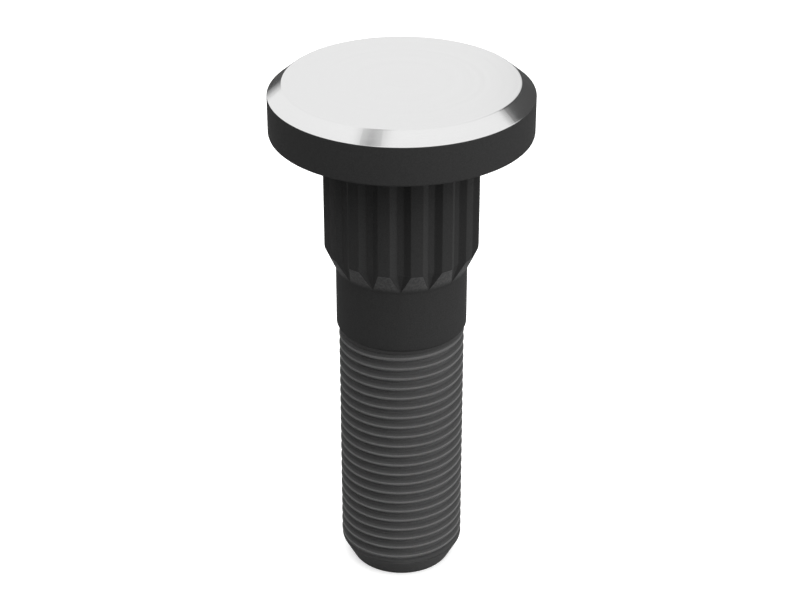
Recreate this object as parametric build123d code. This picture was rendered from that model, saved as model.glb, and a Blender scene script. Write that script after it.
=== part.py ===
import math
import os

from build123d import *

# Wheel stud: one piece of steel that stands on its threaded end, with its head on top.
# The origin is on the axis, in the flat of the threaded end. +Z runs up to the head. Sizes are in mm.

# Thread M14 x 1.25. Its crests lie a little under the nominal 14 mm, as on a real stud.
# The shank is drawn at the crests, and the fine thread itself is left off this solid.
thread_crest_d = 13.92
thread_length = 28.15

# Lead-in cone below the thread, which ends in a flat
lead_height = 2.4
lead_flat_d = 11.4

# Plain shoulder between the thread and the knurl, with a small step down to the thread
shoulder_d = 14.4
shoulder_length = 7.2

# Knurled neck, which bites into the hub's hole, and the cone where it runs down to the shoulder
knurl_d = 16.8
knurl_length = 13.3
runout_height = 2.55

# Grooves of the knurl, with sloping flanks and a narrow flat floor, and a flat land left between them.
# Each one runs out towards the shoulder, where its floor narrows to a point on the cone.
groove_count = 15
groove_width = 2.2
groove_floor_width = 0.66
groove_depth = 0.5
groove_end_above_shoulder = 0.15
first_groove_angle = -90.9

# Head: a plain disc with a broad chamfer round its flat top
head_d = 28.2
head_side_height = 4.25
head_chamfer_height = 1.3
head_chamfer_width = 1.55
neck_fillet_r = 0.4
head_rim_fillet_r = 0.25

# Radii
thread_r = thread_crest_d / 2
lead_flat_r = lead_flat_d / 2
shoulder_r = shoulder_d / 2
crest_r = knurl_d / 2
head_r = head_d / 2
face_r = head_r - head_chamfer_width

# Heights above the flat of the threaded end
thread_bottom = lead_height
shoulder_bottom = thread_bottom + thread_length
runout_bottom = shoulder_bottom + shoulder_length
knurl_bottom = runout_bottom + runout_height
head_bottom = knurl_bottom + knurl_length
chamfer_bottom = head_bottom + head_side_height
head_top = chamfer_bottom + head_chamfer_height


def revolved(outline):
    """A solid turned about Z from a closed outline in the XZ plane."""
    return revolve(make_face(outline), Axis.Z)


def shank():
    """Everything below the head, turned in one piece, with a fillet where the neck meets the head."""
    edge_height = abs(shoulder_r - thread_r)
    fillet_start = (crest_r, 0, head_bottom - neck_fillet_r)
    fillet_end = (crest_r + neck_fillet_r, 0, head_bottom)
    fillet_bulge = neck_fillet_r * (1 - math.cos(math.radians(45)))
    fillet_middle = (crest_r + fillet_bulge, 0, head_bottom - fillet_bulge)
    up_the_side = Polyline(
        (0, 0, 0),
        (lead_flat_r, 0, 0),
        (thread_r, 0, thread_bottom),
        (thread_r, 0, shoulder_bottom),
        (shoulder_r, 0, shoulder_bottom + edge_height),
        (shoulder_r, 0, runout_bottom),
        (crest_r, 0, knurl_bottom),
        fillet_start,
    )
    neck_fillet = ThreePointArc(fillet_start, fillet_middle, fillet_end)
    back_down_the_axis = Polyline(fillet_end, (0, 0, head_bottom), (0, 0, 0))
    return revolved(up_the_side + neck_fillet + back_down_the_axis)


def groove_cutter():
    """A cutter for one groove on the +X side, straight along the knurl and leaning in on the run-out.

    It is a V, less what lies under the groove's floor. The V and the floor both lean towards the point where
    the groove ends. Outside the V the sides are straight, so that it cuts no wider through the fillet below
    the head.
    """
    floor_x = crest_r - groove_depth
    half_width = groove_width / 2
    half_floor = groove_floor_width / 2
    edge_x = math.sqrt(crest_r**2 - half_width**2)
    v_x = floor_x - half_floor * (edge_x - floor_x) / (half_width - half_floor)
    cone_step = crest_r - shoulder_r
    back_x = crest_r + neck_fillet_r + cone_step + groove_depth
    outline = Polyline(
        (v_x, 0, knurl_bottom),
        (edge_x, half_width, knurl_bottom),
        (back_x, half_width, knurl_bottom),
        (back_x, -half_width, knurl_bottom),
        (edge_x, -half_width, knurl_bottom),
        close=True,
    )
    section = make_face(outline)
    straight = extrude(section, amount=knurl_length, dir=(0, 0, 1))

    point_x = shoulder_r + groove_end_above_shoulder * cone_step / runout_height
    past_the_point = runout_height / (runout_height - groove_end_above_shoulder)
    v_lean = Vector((point_x - v_x) * past_the_point, 0, -runout_height)
    run_out = extrude(section, amount=v_lean.length, dir=v_lean)

    floor_end_x = floor_x + (point_x - floor_x) * past_the_point
    inside_x = v_x + v_lean.X - groove_depth
    side_view = Polyline(
        (inside_x, 0, runout_bottom),
        (floor_end_x, 0, runout_bottom),
        (floor_x, 0, knurl_bottom),
        (floor_x, 0, head_bottom),
        (inside_x, 0, head_bottom),
        close=True,
    )
    under_the_floor = extrude(make_face(side_view), amount=half_width, both=True)
    return straight + run_out - under_the_floor


def head():
    """The disc of the head, with its chamfer above and a small rounded rim below."""
    disc = revolved(
        Polyline(
            (0, 0, head_bottom),
            (head_r, 0, head_bottom),
            (head_r, 0, chamfer_bottom),
            (face_r, 0, head_top),
            (0, 0, head_top),
            close=True,
        )
    )
    rim = disc.edges().filter_by(GeomType.CIRCLE).group_by(Axis.Z)[0]
    return fillet(rim, head_rim_fillet_r)


def wheel_stud():
    neck_and_shank = shank()
    cutter = groove_cutter()
    for index in range(groove_count):
        angle = first_groove_angle + index * 360 / groove_count
        neck_and_shank -= Rot(0, 0, angle) * cutter
    return neck_and_shank + head()


os.makedirs("parts", exist_ok=True)
export_step(wheel_stud(), "parts/wheel_stud.step")
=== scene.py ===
import math

import bpy
import numpy as np
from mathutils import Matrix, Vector


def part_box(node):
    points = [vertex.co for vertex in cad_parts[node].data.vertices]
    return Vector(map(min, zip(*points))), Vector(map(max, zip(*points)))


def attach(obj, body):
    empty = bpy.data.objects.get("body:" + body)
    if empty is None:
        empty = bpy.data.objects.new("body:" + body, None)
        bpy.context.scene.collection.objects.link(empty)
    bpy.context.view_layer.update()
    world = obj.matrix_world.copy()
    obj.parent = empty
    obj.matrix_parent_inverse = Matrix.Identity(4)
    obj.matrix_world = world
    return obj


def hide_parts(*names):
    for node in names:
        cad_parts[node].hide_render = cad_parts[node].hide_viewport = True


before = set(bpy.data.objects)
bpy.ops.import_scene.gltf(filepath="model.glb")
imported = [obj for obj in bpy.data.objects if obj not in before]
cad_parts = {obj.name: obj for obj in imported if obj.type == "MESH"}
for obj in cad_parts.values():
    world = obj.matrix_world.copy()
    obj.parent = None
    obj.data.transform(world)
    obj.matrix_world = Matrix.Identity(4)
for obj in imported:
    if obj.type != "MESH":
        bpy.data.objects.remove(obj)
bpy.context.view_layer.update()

# Wheel stud, standing on its threaded end with the head on top. Lengths are in metres.
mm = 0.001

# Thread M14 x 1.25, with softened crests and round roots. Its grooves start on the lead-in cone and run out
# below the shoulder. Its underside is given as shares of a pitch above the middle of a crest.
thread_crest_r = 6.96 * mm
pitch = 1.25 * mm
flank_angle = math.radians(60)
front_crest_height = 0.71 * mm
crest_flat = 0.2 * mm
crest_softness = 0.05 * mm
root_round_r = 0.18 * mm
groove_start = 2.2 * mm
fade_above_start = 0.8 * mm
fade_below_shoulder = 1.7 * mm
underside_start = 0.52
underside_full = 0.64

# Foot, lead-in cone and shoulder
foot_r = 5.7 * mm
foot_round_r = 0.15 * mm
lead_height = 2.4 * mm
plain_lead_height = 0.5 * mm
lead_blend = 0.05 * mm
shoulder_bottom = 30.55 * mm
shoulder_r = 7.2 * mm
runout_bottom = 37.75 * mm
edge_round_r = 0.12 * mm
soft_corner_r = 0.8 * mm

# Knurl: grooves with sloping flanks and a narrow flat floor, and plain lands between them. On the cone below
# the knurl the grooves run out, and end in points just above the shoulder.
knurl_bottom = 40.3 * mm
knurl_r = 8.4 * mm
cone_slope = (knurl_r - shoulder_r) / (knurl_bottom - runout_bottom)
groove_count = 15
groove_half_width = 1.1 * mm
floor_half_width = 0.33 * mm
groove_floor_r = knurl_r - 0.5 * mm
groove_point_height = 37.9 * mm
front_groove_angle = math.radians(-0.9)

# Head
head_bottom = 53.6 * mm
chamfer_bottom = 57.85 * mm
chamfer_width = 1.55 * mm
neck_fillet_r = 0.4 * mm
rim_fillet_r = 0.25 * mm
stud_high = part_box("wheel_stud")[1]
head_r = stud_high.x
head_top = stud_high.z
face_r = head_r - chamfer_width

# Columns of the surface's grid, counted from the middle of a groove to the middle of the next land. One
# column lies close by on each side of a groove's edge, which keeps the edge crisp.
columns_per_side = 7
edge_column = 4
edge_gap_share = 0.015
widest_edge_gap = math.radians(0.12)
narrowest_groove = math.radians(0.15)
half_period = math.pi / groove_count
column_count = groove_count * 2 * columns_per_side
column = np.arange(column_count + 1)
columns_from_groove = (column + columns_per_side) % (2 * columns_per_side) - columns_per_side
every_column = np.ones(column_count + 1)

# Rows of the thread, as heights above the middle of a crest, from there almost to the middle of the root
rows_above_crest = np.array([0.0, 0.065, 0.1, 0.14, 0.29, 0.469, 0.54]) * mm

# The photograph's view: the point in the middle of the picture, and the camera that looks at it
view_middle = Vector((-0.17 * mm, 0, 33.06 * mm))
camera_elevation = 28.94
camera_distance = 217.1 * mm
camera_lens = 88.47


def rounded_profile(corners, steps=3):
    """Points (radius, height) along straight legs, with an arc in place of each rounded corner.

    A corner is (radius, height, rounding). Radius is the distance from the stud's axis. The arc starts and
    ends at its rounding times the tangent of half the turn from the corner, and its points swing round its
    centre in equal angles.
    """
    points = [np.array(corners[0][:2])]
    for before, corner, after in zip(corners, corners[1:], corners[2:]):
        at = np.array(corner[:2])
        rounding = corner[2]
        if rounding == 0:
            points.append(at)
            continue
        to_before = np.array(before[:2]) - at
        to_after = np.array(after[:2]) - at
        to_before /= np.linalg.norm(to_before)
        to_after /= np.linalg.norm(to_after)
        turn = math.pi - math.acos(float(to_before @ to_after))
        reach = rounding * math.tan(turn / 2)
        bisector = (to_before + to_after) / np.linalg.norm(to_before + to_after)
        centre = at + bisector * rounding / math.cos(turn / 2)
        first = at + to_before * reach - centre
        last = at + to_after * reach - centre
        share = np.linspace(0, 1, steps + 1)[:, None]
        arc = centre + (np.sin((1 - share) * turn) * first + np.sin(share * turn) * last) / math.sin(turn)
        points += list(arc)
    points.append(np.array(corners[-1][:2]))
    return np.array(points)


def distance_along(profile):
    """Distance of each of the profile's points from its first one, along its straight legs."""
    return np.concatenate([[0], np.cumsum(np.linalg.norm(np.diff(profile, axis=0), axis=1))])


def soft_minimum(a, b, width):
    """The smaller of two surfaces, blended by a parabola where they are less than width apart."""
    near = np.clip(width - np.abs(a - b), 0, None) / width
    return np.minimum(a, b) - near**2 * width / 4


def smooth_step(share):
    """Carries 0 to 0 and 1 to 1, level at both ends: three times the square less twice the cube."""
    share = np.clip(share, 0, 1)
    return share * share * (3 - 2 * share)


def depth_below_crest(offset):
    """Depth of the thread at an axial distance, up to half a pitch, from the middle of its crest.

    The flank is a straight line at the flank's angle to the axis, which starts at the edge of the crest's
    flat. It leaves the crest along a hyperbola, and ends in an arc about the middle of the root.
    """
    slope = math.tan(flank_angle)
    flank = slope * (offset - crest_flat / 2)
    flank = (flank + np.sqrt(flank**2 + crest_softness**2)) / 2
    flank_end = pitch / 2 - root_round_r * math.sin(flank_angle)
    arc_middle = slope * (flank_end - crest_flat / 2) - root_round_r * math.cos(flank_angle)
    root = arc_middle + np.sqrt(np.clip(root_round_r**2 - (offset - pitch / 2) ** 2, 0, None))
    return np.where(offset < flank_end, flank, root)


def lead_cone_radius(height):
    """Radius of the lead-in cone, which goes on outwards above the thread's crests."""
    return foot_r + (thread_crest_r - foot_r) * height / lead_height


def column_angles(floor_angle, edge_angle, evenness):
    """Angle round the axis of each column of the grid, for rows with these half angles of floor and groove.

    The first column from the middle lies on the floor's edge. The next ones lie evenly up the flank, and the
    rest evenly across the land. Evenness, from 0 to 1, carries a row over to equal spacing all round.
    """
    middle = (column - columns_from_groove) / columns_per_side * half_period
    away = np.abs(columns_from_groove)
    floor = floor_angle[:, None]
    edge = edge_angle[:, None]
    inner_edge = edge * (1 - edge_gap_share)
    outer_edge = edge + np.minimum(edge * edge_gap_share, widest_edge_gap)
    up_the_flank = floor + (inner_edge - floor) * (away - 1) / (edge_column - 1)
    in_groove = np.where(away < 1, 0, up_the_flank)
    land_share = (away - edge_column - 1) / (columns_per_side - edge_column - 1)
    on_land = outer_edge + (half_period - outer_edge) * land_share
    following = np.where(away <= edge_column, in_groove, on_land)
    even = half_period * away / columns_per_side
    angle = following + (even - following) * evenness[:, None]
    return middle + np.sign(columns_from_groove) * angle + front_groove_angle


def even_angles(row_count):
    """Angles of equally spaced columns, for this many rows."""
    narrowest = np.full(row_count, narrowest_groove)
    return column_angles(narrowest / 2, narrowest, np.ones(row_count))


def lower_rows():
    """Rows of points from the middle of the foot, up the lead-in cone and the thread, to the shoulder.

    Underside tells how far a point is on the side of the thread that faces down.

    The thread's rows follow its helix: the height of a row is its height at the front plus a pitch for each
    turn. A row that would leave the thread at either end lies along that end instead, so that the rows meet
    there and the helix closes on itself one pitch further up. The radius is the crest's, less the thread's
    depth, which fades out at both ends, and it stays within the lead-in cone.
    """
    foot = rounded_profile(
        [
            (0.0, 0.0, 0.0),
            (foot_r / 2, 0.0, 0.0),
            (foot_r, 0.0, foot_round_r),
            (lead_cone_radius(plain_lead_height), plain_lead_height, 0.0),
        ]
    )
    one_turn = np.concatenate([rows_above_crest, [pitch / 2], pitch - rows_above_crest[:0:-1]])
    turn = np.arange(-2, math.ceil(shoulder_bottom / pitch) + 1)
    above_crest = np.tile(one_turn, len(turn))
    front_height = front_crest_height + np.repeat(turn, len(one_turn)) * pitch + above_crest
    angle = even_angles(len(front_height))
    height = front_height[:, None] + pitch * angle / (2 * math.pi)
    below = height <= plain_lead_height
    above = height >= shoulder_bottom
    height = np.clip(height, plain_lead_height, shoulder_bottom)

    fade = smooth_step((shoulder_bottom - height) / fade_below_shoulder)
    fade = fade * smooth_step((height - groove_start) / fade_above_start)
    depth = depth_below_crest(np.minimum(above_crest, pitch - above_crest))[:, None] * fade
    radius = soft_minimum(thread_crest_r - depth, lead_cone_radius(height), lead_blend)
    radius = np.where(below, foot[-1, 0], np.where(above, thread_crest_r, radius))
    underside = smooth_step((above_crest / pitch - underside_start) / (underside_full - underside_start))
    underside = np.where(below | above, 0, underside[:, None] * fade**2)

    length_per_height = 1.6
    foot_length = distance_along(foot)
    length = foot_length[-1] + (height - plain_lead_height) * length_per_height
    return {
        "radius": np.vstack([foot[:, 0:1] * every_column, radius]),
        "angle": np.vstack([even_angles(len(foot)), angle]),
        "height": np.vstack([foot[:, 1:2] * every_column, height]),
        "length": np.vstack([foot_length[:, None] * every_column, length]),
        "underside": np.vstack([np.zeros((len(foot), column_count + 1)), underside]),
    }


def upper_profile():
    """Profile from the thread's end, up the shoulder, cone, knurl and head, to the middle of the top.

    The rings along the shoulder carry the columns over to the grooves, and those on the cone follow the
    grooves as they run out. The ones beside the chamfer's edges and on the top keep the shading even.
    """
    shoulder_rings = np.linspace(shoulder_bottom + 1.2 * mm, runout_bottom - soft_corner_r, 6)
    cone_rings = np.linspace(groove_point_height + 0.05 * mm, knurl_bottom - 0.2 * mm, 8)
    chamfer_ring_shares = (0.08, 0.92)
    face_rings = (face_r - 0.2 * mm, face_r * 0.9, face_r * 0.5)
    chamfer_height = head_top - chamfer_bottom
    return rounded_profile(
        [
            (thread_crest_r, shoulder_bottom, 0.0),
            (shoulder_r, shoulder_bottom + shoulder_r - thread_crest_r, edge_round_r),
            *[(shoulder_r, height, 0.0) for height in shoulder_rings],
            (shoulder_r, runout_bottom, soft_corner_r),
            *[(shoulder_r + (height - runout_bottom) * cone_slope, height, 0.0) for height in cone_rings],
            (knurl_r, knurl_bottom, edge_round_r),
            (knurl_r, head_bottom, neck_fillet_r),
            (knurl_r + 3 * neck_fillet_r, head_bottom, 0.0),
            (head_r, head_bottom, rim_fillet_r),
            (head_r, chamfer_bottom, edge_round_r),
            *[
                (head_r - chamfer_width * share, chamfer_bottom + chamfer_height * share, 0.0)
                for share in chamfer_ring_shares
            ],
            (face_r, head_top, edge_round_r),
            *[(radius, head_top, 0.0) for radius in face_rings],
            (0.0, head_top, 0.0),
        ]
    )


def upper_rows():
    """Rows of points from the shoulder's lower edge to the middle of the head's top, with the grooves.

    Cone wear and light tells how far a point on the cone's lands is painted lighter, partly as rubbed wear
    and partly as painted light from below. Painted flank light is 1 on a flank that faces anticlockwise,
    seen from above, and -1 on one that faces clockwise; it makes one flank of each groove lighter and the
    other darker, as painted light and shade.

    In a section across the stud a groove's floor and flanks are straight lines. At an angle from its middle
    the floor is at its distance over cos, and the flank at s k over k cos minus sin, where k is the flank's
    slope and s the place where the two flanks would meet. The further out of the two is the surface, and
    the groove ends where the flank reaches the profile. On the cone the floor leans inwards and narrows,
    down to the point where it comes out of the cone.
    """
    profile = upper_profile()
    plain_radius, row_height = profile.T
    full_edge_r = math.sqrt(knurl_r**2 - groove_half_width**2)
    slope = (groove_half_width - floor_half_width) / (full_edge_r - groove_floor_r)
    point_r = shoulder_r + (groove_point_height - runout_bottom) * cone_slope
    fullness = np.clip((row_height - groove_point_height) / (knurl_bottom - groove_point_height), 0, 1)
    floor_r = point_r + (groove_floor_r - point_r) * fullness
    meeting_r = floor_r - floor_half_width * fullness / slope
    outside_r = np.where(row_height < knurl_bottom, plain_radius, knurl_r)
    edge_cosine = np.clip(slope * meeting_r / (outside_r * math.hypot(1, slope)), -1, 1)
    edge_angle = np.maximum(np.arccos(edge_cosine) - math.atan(1 / slope), narrowest_groove)
    floor_angle = np.maximum(np.arctan2(floor_half_width * fullness, floor_r), narrowest_groove / 2)
    evenness = np.clip((runout_bottom - row_height) / (runout_bottom - shoulder_bottom), 0, 1)
    angle = column_angles(floor_angle, edge_angle, evenness)

    period = 2 * half_period
    from_front = angle - front_groove_angle
    from_middle = np.abs(from_front - np.round(from_front / period) * period)
    flank = meeting_r[:, None] * slope / (slope * np.cos(from_middle) - np.sin(from_middle))
    groove = np.maximum(floor_r[:, None] / np.cos(from_middle), flank)
    away = np.abs(columns_from_groove)
    grooved = (row_height > groove_point_height) & (plain_radius < knurl_r + 2 * neck_fillet_r)
    in_groove = grooved[:, None] & (away <= edge_column)
    radius = plain_radius[:, None] * every_column
    radius = np.where(in_groove, np.minimum(radius, groove), radius)

    # The cone's lands are painted lighter from here up, partly rubbed wear and partly painted light from
    # below.
    wear_and_light_start = runout_bottom - 0.1 * mm
    wear_and_light_full = runout_bottom + 1 * mm
    on_cone = smooth_step((row_height - wear_and_light_start) / (wear_and_light_full - wear_and_light_start))
    on_cone = np.where(row_height < knurl_bottom, on_cone, 0)
    return {
        "radius": radius,
        "angle": angle,
        "height": row_height[:, None] * every_column,
        "length": distance_along(profile)[:, None] * every_column,
        "cone_wear_and_light": on_cone[:, None] * (away > edge_column),
        # One flank of each groove is marked for painted light, the other for painted shade.
        "painted_flank_light": in_groove * (away > 1) * -np.sign(columns_from_groove),
    }


def half_of_map(side, length):
    """Places on the left or right half of the OFBake map, with the turn across and the length along it."""
    margin = 0.01
    turn_share = np.linspace(0, 1, column_count + 1)[None, :]
    across = (side + margin + turn_share * (1 - 2 * margin)) / 2
    along = margin + length / length.max() * (1 - 2 * margin)
    return np.stack([np.broadcast_to(across, along.shape), along], axis=2)


def cell_corners(grid):
    """What a grid holds at the four corners of each of its cells, in order round the cell."""
    corners = np.stack([grid[:-1, :-1], grid[:-1, 1:], grid[1:, 1:], grid[1:, :-1]], axis=2)
    return corners.reshape(-1, 4, *grid.shape[2:])


def joined(points):
    """The first grid point at each place, and for every grid point the number of its place.

    Points are at one place where they round to the same millionth of a millimetre. The shift keeps round
    sizes away from the limit between two of them.
    """
    shift = 0.37
    spot = np.round(points.reshape(-1, 3) / (1e-6 * mm) + shift).astype(np.int64)
    first, number = np.unique(spot, axis=0, return_index=True, return_inverse=True)[1:]
    return first, number.reshape(points.shape[:2])


def stud_mesh():
    """The stud's whole surface as one closed mesh, from the middle of the foot to the middle of the top.

    Each point of the grid is at (r sin a, -r cos a, z) for its radius, angle and height. Points at one place
    become one, and a cell with two corners at one place becomes a triangle.
    """
    parts = (lower_rows(), upper_rows())
    radius, angle, height = [
        np.vstack([part[name] for part in parts]) for name in ("radius", "angle", "height")
    ]
    points = np.stack([radius * np.sin(angle), -radius * np.cos(angle), height], axis=2)
    first, number = joined(points)
    places = points.reshape(-1, 3)[first]
    corners = cell_corners(number)
    kept_corner = corners != np.roll(corners, -1, axis=1)
    whole = kept_corner.sum(axis=1) >= 3
    kept_corner &= whole[:, None]
    corner_count = kept_corner.sum(axis=1)[whole]
    loops = corners[kept_corner]
    loop_start = np.concatenate([[0], np.cumsum(corner_count)[:-1]])

    mesh = bpy.data.meshes.new("wheel_stud_surface")
    mesh.vertices.add(len(places))
    mesh.vertices.foreach_set("co", places.ravel())
    mesh.loops.add(len(loops))
    mesh.loops.foreach_set("vertex_index", loops)
    mesh.polygons.add(len(corner_count))
    mesh.polygons.foreach_set("loop_start", loop_start)
    mesh.polygons.foreach_set("use_smooth", np.ones(len(corner_count), bool))
    mesh.update(calc_edges=True)

    flat_map = np.vstack([half_of_map(side, part["length"]) for side, part in enumerate(parts)])
    uv_map = mesh.uv_layers.new(name="OFBake")
    uv_map.uv.foreach_set("vector", cell_corners(flat_map)[kept_corner].ravel())
    for name in ("underside", "cone_wear_and_light", "painted_flank_light"):
        share = np.vstack([part.get(name, np.zeros_like(part["radius"])) for part in parts])
        attribute = mesh.attributes.new(name, "FLOAT", "POINT")
        attribute.data.foreach_set("value", share.ravel()[first])

    middle_height = np.add.reduceat(places[loops, 2], loop_start) / corner_count
    machined = middle_height > chamfer_bottom + edge_round_r / 4
    mesh.polygons.foreach_set("material_index", machined.astype(np.int32))
    sharpest_smooth_edge = math.radians(27)
    mesh.set_sharp_from_angle(angle=sharpest_smooth_edge)
    return mesh


def add_node(tree, kind, inputs=None, **settings):
    """Adds a node with these settings. An input given as a socket is linked, and any other is set."""
    node = tree.nodes.new(kind)
    for name, value in settings.items():
        setattr(node, name, value)
    for name, value in (inputs or {}).items():
        if isinstance(value, bpy.types.NodeSocket):
            tree.links.new(value, node.inputs[name])
        else:
            node.inputs[name].default_value = value
    return node


def new_material(name):
    """A node material with only its output and a Principled shader."""
    material = bpy.data.materials.new(name)
    material.use_nodes = True
    tree = material.node_tree
    return material, tree, tree.nodes["Principled BSDF"]


def ranged(tree, value, low, high, to_low=0.0, to_high=1.0):
    """Carries a value from one range to another with smooth ends."""
    node = add_node(
        tree,
        "ShaderNodeMapRange",
        {"Value": value, "From Min": low, "From Max": high, "To Min": to_low, "To Max": to_high},
        interpolation_type="SMOOTHSTEP",
    )
    return node.outputs["Result"]


def worked_out(tree, operation, a, b):
    """What a Math node makes of two values."""
    return add_node(tree, "ShaderNodeMath", {0: a, 1: b}, operation=operation).outputs[0]


def times(tree, a, b):
    """One value times another."""
    return worked_out(tree, "MULTIPLY", a, b)


def mixed(tree, factor, a, b):
    """Mixes two colours by a factor."""
    node = add_node(tree, "ShaderNodeMix", {"Factor": factor}, data_type="RGBA")
    for socket, colour in ((node.inputs[6], a), (node.inputs[7], b)):
        if isinstance(colour, bpy.types.NodeSocket):
            tree.links.new(colour, socket)
        else:
            socket.default_value = (*colour, 1.0)
    return node.outputs[2]


def grey(value):
    """A grey of this brightness, as a colour."""
    return (value, value, value)


def mark(tree, name):
    """A value that the stud's surface carries with it."""
    return add_node(tree, "ShaderNodeAttribute", attribute_name=name).outputs["Fac"]


def place_on_stud(tree):
    """Object coordinates, the height above the foot, and the distance from the axis."""
    coordinates = add_node(tree, "ShaderNodeTexCoord").outputs["Object"]
    split = add_node(tree, "ShaderNodeSeparateXYZ", {0: coordinates})
    flat = add_node(tree, "ShaderNodeCombineXYZ", {"X": split.outputs["X"], "Y": split.outputs["Y"]})
    distance = add_node(tree, "ShaderNodeVectorMath", {0: flat.outputs[0]}, operation="LENGTH")
    return coordinates, split.outputs["Z"], distance.outputs["Value"]


def noise(tree, coordinates, size, detail=3.0, roughness=0.5):
    """Noise whose features are about this size."""
    return add_node(
        tree,
        "ShaderNodeTexNoise",
        {"Vector": coordinates, "Scale": 1 / size, "Detail": detail, "Roughness": roughness},
    ).outputs["Fac"]


def ring_noise(tree, distance, width, detail, roughness=0.5):
    """Noise in rings of about this width round the axis."""
    return add_node(
        tree,
        "ShaderNodeTexNoise",
        {"W": distance, "Scale": 1 / width, "Detail": detail, "Roughness": roughness},
        noise_dimensions="1D",
    ).outputs["Fac"]


def add_bump(tree, shader, height, strength, distance):
    """Gives a shader a fine relief from this height."""
    bump = add_node(tree, "ShaderNodeBump", {"Height": height, "Strength": strength, "Distance": distance})
    tree.links.new(bump.outputs[0], shader.inputs["Normal"])


def dark_coating():
    """Black phosphate coating of fine crystals.

    It is a little greyer along the thread, and rubbed lighter in clouds on the thread's crests. Painted
    light makes the lead-in cone lighter, as if lit from below, and lightens the thread's roots and
    underside, which the crests keep in shade. The cone's lands below the knurl are lighter in grains, partly
    rubbed wear and partly painted light from below. Painted light and shade make one flank of each groove
    lighter and the other darker.
    """
    coating_grey = 0.0425
    # Painted light: the lead-in cone is painted lighter, as if lit from below.
    lead_painted_light_grey = 0.1
    flank_grey = 0.072
    # Painted light: the thread's roots and underside, which the crests keep in shade, are painted lighter.
    root_painted_light_grey = 0.14
    underside_painted_light_grey = 0.36
    crest_grey = 0.142
    # The cone's lands: partly rubbed wear and partly painted light from below.
    rubbed_and_lit_grey = 0.12
    crystal_size = 0.12 * mm
    grain_size = 0.3 * mm
    cloud_size = 2.5 * mm
    material, tree, shader = new_material("black_phosphate_coating")
    coordinates, height, distance = place_on_stud(tree)
    crystals = noise(tree, coordinates, crystal_size, detail=2.0)
    grains = noise(tree, coordinates, grain_size, roughness=0.7)
    clouds = noise(tree, coordinates, cloud_size)

    # Painted light on the lead-in cone, which faces down.
    on_lead = ranged(tree, height, lead_height, lead_height - 0.2 * mm)
    coating = mixed(tree, on_lead, grey(coating_grey), grey(lead_painted_light_grey))

    # Painted light lifts the shade in the thread's roots and on its underside.
    in_root = ranged(tree, distance, thread_crest_r - 0.4 * mm, thread_crest_r - 0.7 * mm)
    thread_tone = mixed(tree, in_root, grey(flank_grey), grey(root_painted_light_grey))
    thread_tone = mixed(tree, mark(tree, "underside"), thread_tone, grey(underside_painted_light_grey))
    above_lead = ranged(tree, height, lead_height - 0.1 * mm, lead_height + 0.2 * mm)
    below_shoulder = ranged(tree, height, shoulder_bottom + 0.03 * mm, shoulder_bottom - 0.12 * mm)
    tone = mixed(tree, times(tree, above_lead, below_shoulder), coating, thread_tone)

    on_crest = ranged(tree, distance, thread_crest_r - 0.13 * mm, thread_crest_r - 0.03 * mm)
    past_first_turn = ranged(tree, height, lead_height + 0.3 * mm, lead_height + 0.6 * mm)
    before_last_turn = ranged(tree, height, shoulder_bottom - 0.6 * mm, shoulder_bottom - 0.8 * mm)
    on_crest = times(tree, on_crest, times(tree, past_first_turn, before_last_turn))
    crest_wear = times(tree, on_crest, ranged(tree, clouds, 0.1, 0.6, 0.85, 1.0))
    tone = mixed(tree, crest_wear, tone, grey(crest_grey))

    # Lighter grains on the cone's lands: partly rubbed wear, partly painted light from below.
    cone_wear_and_light = times(tree, mark(tree, "cone_wear_and_light"), ranged(tree, grains, 0.3, 0.7, 0.5, 1.0))
    tone = mixed(tree, cone_wear_and_light, tone, grey(rubbed_and_lit_grey))

    mottle = ranged(tree, crystals, 0.2, 0.8, 0.88, 1.12)
    # Painted light and shade: one flank of each groove is 1.2 times lighter, the other 0.8 times as dark.
    flank_light_and_shade = ranged(tree, mark(tree, "painted_flank_light"), -1.0, 1.0, 0.8, 1.2)
    brightness = times(tree, mottle, flank_light_and_shade)
    scaled = add_node(tree, "ShaderNodeVectorMath", {0: tone, "Scale": brightness}, operation="SCALE")
    tree.links.new(scaled.outputs[0], shader.inputs["Base Color"])
    tree.links.new(ranged(tree, crystals, 0.25, 0.75, 0.85, 0.75), shader.inputs["Roughness"])
    shader.inputs["Specular IOR Level"].default_value = 0.015
    add_bump(tree, shader, crystals, strength=0.25, distance=0.02 * mm)
    return material


def turned_steel():
    """Bright steel with fine rings left by the turning tool round the axis, and fine specks."""
    face_greys = (0.76, 0.8)
    chamfer_greys = (0.79, 0.83)
    speck_grey = 0.79
    material, tree, shader = new_material("turned_bright_steel")
    coordinates, height, distance = place_on_stud(tree)
    rings = ring_noise(tree, distance, 0.09 * mm, detail=2.0, roughness=0.6)
    bands = ring_noise(tree, distance, 1.1 * mm, detail=1.0)
    specks = noise(tree, coordinates, 0.35 * mm, detail=4.0)
    face_tone, chamfer_tone = [
        mixed(tree, rings, grey(darker), grey(brighter)) for darker, brighter in (face_greys, chamfer_greys)
    ]
    on_face = ranged(tree, height, head_top - edge_round_r, head_top)
    tone = mixed(tree, on_face, chamfer_tone, face_tone)
    tone = mixed(tree, ranged(tree, specks, 0.3, 0.7, 0.0, 0.3), tone, grey(speck_grey))
    tree.links.new(tone, shader.inputs["Base Color"])
    tree.links.new(ranged(tree, bands, 0.3, 0.7, 0.12, 0.17), shader.inputs["Roughness"])
    shader.inputs["Metallic"].default_value = 1.0
    add_bump(tree, shader, rings, strength=0.12, distance=0.01 * mm)
    return material


# Corners of a sheet, in half widths and half heights from its middle
sheet_corners = ((-1, -1), (1, -1), (1, 1), (-1, 1))


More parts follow.
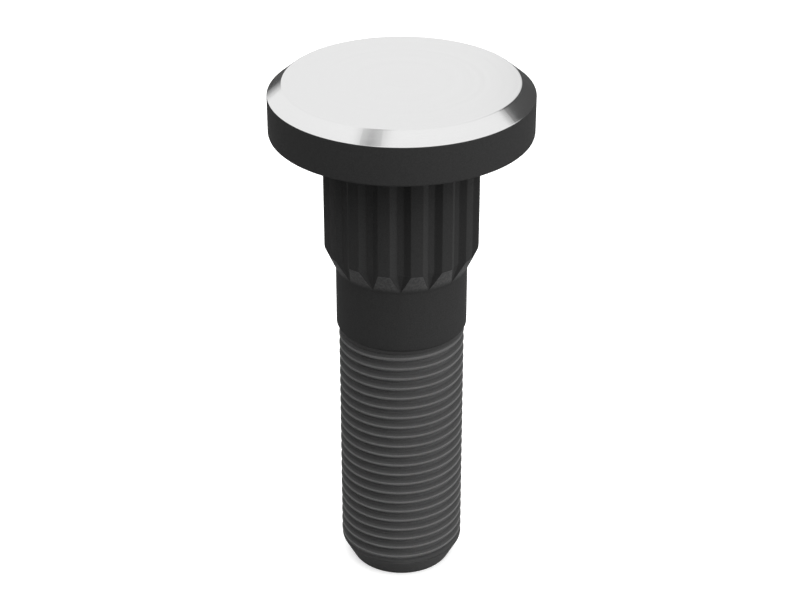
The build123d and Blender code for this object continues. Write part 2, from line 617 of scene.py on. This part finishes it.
def flat_sheet(name, corners, material):
    """One flat four-cornered face that belongs to the studio."""
    mesh = bpy.data.meshes.new(name)
    mesh.from_pydata([tuple(corner) for corner in corners], [], [(0, 1, 2, 3)])
    mesh.materials.append(material)
    sheet = bpy.data.objects.new(name, mesh)
    bpy.context.collection.objects.link(sheet)
    return sheet


def seen_directly(tree):
    """One for camera, glossy and transmission rays, and nothing for the rays that light surfaces."""
    path = add_node(tree, "ShaderNodeLightPath").outputs
    camera_or_glossy = worked_out(tree, "MAXIMUM", path["Is Camera Ray"], path["Is Glossy Ray"])
    return worked_out(tree, "MAXIMUM", camera_or_glossy, path["Is Transmission Ray"])


def pale_floor():
    """A pale matt floor. Where it is seen directly it is lifted to white, and it keeps the stud's shadow."""
    grey_seen = 0.8
    grey_for_light = 0.25
    lift = 0.45
    half_width = 3.0
    material, tree, shader = new_material("pale_floor")
    directly = seen_directly(tree)
    tone = mixed(tree, directly, grey(grey_for_light), grey(grey_seen))
    tree.links.new(tone, shader.inputs["Base Color"])
    shader.inputs["Roughness"].default_value = 0.9
    shader.inputs["Specular IOR Level"].default_value = 0.0
    shader.inputs["Emission Color"].default_value = (*grey(1.0), 1.0)
    tree.links.new(times(tree, directly, lift), shader.inputs["Emission Strength"])
    return flat_sheet("floor", [(half_width * x, half_width * y, 0) for x, y in sheet_corners], material)


def white_surroundings(overhead):
    """A world that lights the stud softly from above, with this strength, and is white where it is seen."""
    lowest_light = math.sin(math.radians(20))
    full_light = math.sin(math.radians(60))
    world = bpy.data.worlds.new("white_surroundings")
    world.use_nodes = True
    tree = world.node_tree
    background = tree.nodes["Background"]
    background.inputs["Color"].default_value = (*grey(1.0), 1.0)
    towards = add_node(tree, "ShaderNodeTexCoord").outputs["Generated"]
    upwards = add_node(tree, "ShaderNodeSeparateXYZ", {0: towards}).outputs["Z"]
    soft_top = ranged(tree, upwards, lowest_light, full_light, 0.0, overhead)
    strength = add_node(
        tree, "ShaderNodeMapRange", {"Value": seen_directly(tree), "To Min": soft_top, "To Max": 1.0}
    )
    tree.links.new(strength.outputs["Result"], background.inputs["Strength"])
    bpy.context.scene.world = world


def direction(azimuth, elevation):
    """Unit vector from the stud. Azimuth 0 is towards the camera and 90 is to its right."""
    a = math.radians(azimuth)
    e = math.radians(elevation)
    return Vector((math.sin(a) * math.cos(e), -math.cos(a) * math.cos(e), math.sin(e)))


def soft_light(name, azimuth, elevation, distance, size, brightness):
    """A square light that faces the stud, and isn't mirrored in it. Brightness is its radiance."""
    light = bpy.data.lights.new(name, "AREA")
    light.shape = "SQUARE"
    light.size = size
    light.energy = brightness * math.pi * size**2
    lamp = bpy.data.objects.new(name, light)
    bpy.context.collection.objects.link(lamp)
    lamp.location = view_middle + direction(azimuth, elevation) * distance
    lamp.rotation_euler = (-direction(azimuth, elevation)).to_track_quat("-Z", "Y").to_euler()
    lamp.visible_glossy = False


def dark_card(name, azimuth, elevation, distance, size, brightness, fades=(0.1 * mm, 0.1 * mm)):
    """A grey card that faces the head's top and that only the bright steel mirrors. It shades nothing.

    It pales to white at its two sides, over these widths. The first side is the left one for a viewer who
    stands at the card and looks at the stud.
    """
    material, tree, shader = new_material(name)
    shader.inputs["Base Color"].default_value = (*grey(0.0), 1.0)
    shader.inputs["Specular IOR Level"].default_value = 0.0
    shader.inputs["Emission Color"].default_value = (*grey(1.0), 1.0)
    width, height = size
    outwards = direction(azimuth, elevation)
    across = Vector((math.cos(math.radians(azimuth)), math.sin(math.radians(azimuth)), 0))
    upwards = outwards.cross(across)
    middle = Vector((0, 0, head_top)) + outwards * distance
    place = add_node(tree, "ShaderNodeTexCoord").outputs["Object"]
    sideways = add_node(tree, "ShaderNodeVectorMath", {0: place, 1: across}, operation="DOT_PRODUCT")
    sideways = sideways.outputs["Value"]
    start = middle.dot(across) - width / 2
    end = middle.dot(across) + width / 2
    start_fade = ranged(tree, sideways, start, start + fades[0], 1.0, brightness)
    end_fade = ranged(tree, sideways, end - fades[1], end, brightness, 1.0)
    tree.links.new(worked_out(tree, "MAXIMUM", start_fade, end_fade), shader.inputs["Emission Strength"])
    corners = [middle + across * x * width / 2 + upwards * y * height / 2 for x, y in sheet_corners]
    card = flat_sheet(name, corners, material)
    card.visible_camera = False
    card.visible_diffuse = False
    card.visible_shadow = False


# The stud
stud = bpy.data.objects.new("wheel_stud_finished", stud_mesh())
bpy.context.collection.objects.link(stud)
stud.data.materials.append(dark_coating())
stud.data.materials.append(turned_steel())
even_normals = stud.modifiers.new("even_normals", "WEIGHTED_NORMAL")
even_normals.keep_sharp = True
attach(stud, "root")
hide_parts("wheel_stud")

# Camera at the photograph's angle
camera = bpy.data.objects.new("camera", bpy.data.cameras.new("camera"))
bpy.context.collection.objects.link(camera)
camera.location = view_middle + direction(0, camera_elevation) * camera_distance
camera.rotation_euler = (math.radians(90 - camera_elevation), 0, 0)
camera.data.sensor_width = 36
camera.data.lens = camera_lens
camera.data.clip_start = 0.01
bpy.context.scene.camera = camera

# Studio. The numbers after the name of a light or card are its azimuth, elevation and distance. Three cards
# darken the chamfer at its right end and at the back, and the one above gives it a soft grey patch in front.
pale_floor()
white_surroundings(overhead=2.33)
soft_light("key_light", 66, 25, distance=0.6, size=0.45, brightness=2.8)
dark_card("card_right", 144.5, 0, 0.2, size=(0.24, 0.34), brightness=0.083, fades=(0.045, 0.065))
dark_card("card_behind_right", 168, -4, 0.18, size=(0.09, 0.097), brightness=0.087)
dark_card("card_behind_left", 200, -7.5, 0.15, size=(0.102, 0.1), brightness=0.085, fades=(0.001, 0.037))
dark_card("card_above", -51.3, 71.4, 0.5, size=(0.155, 0.155), brightness=0.42, fades=(0.077, 0.077))
bpy.context.scene.view_settings.view_transform = "Standard"
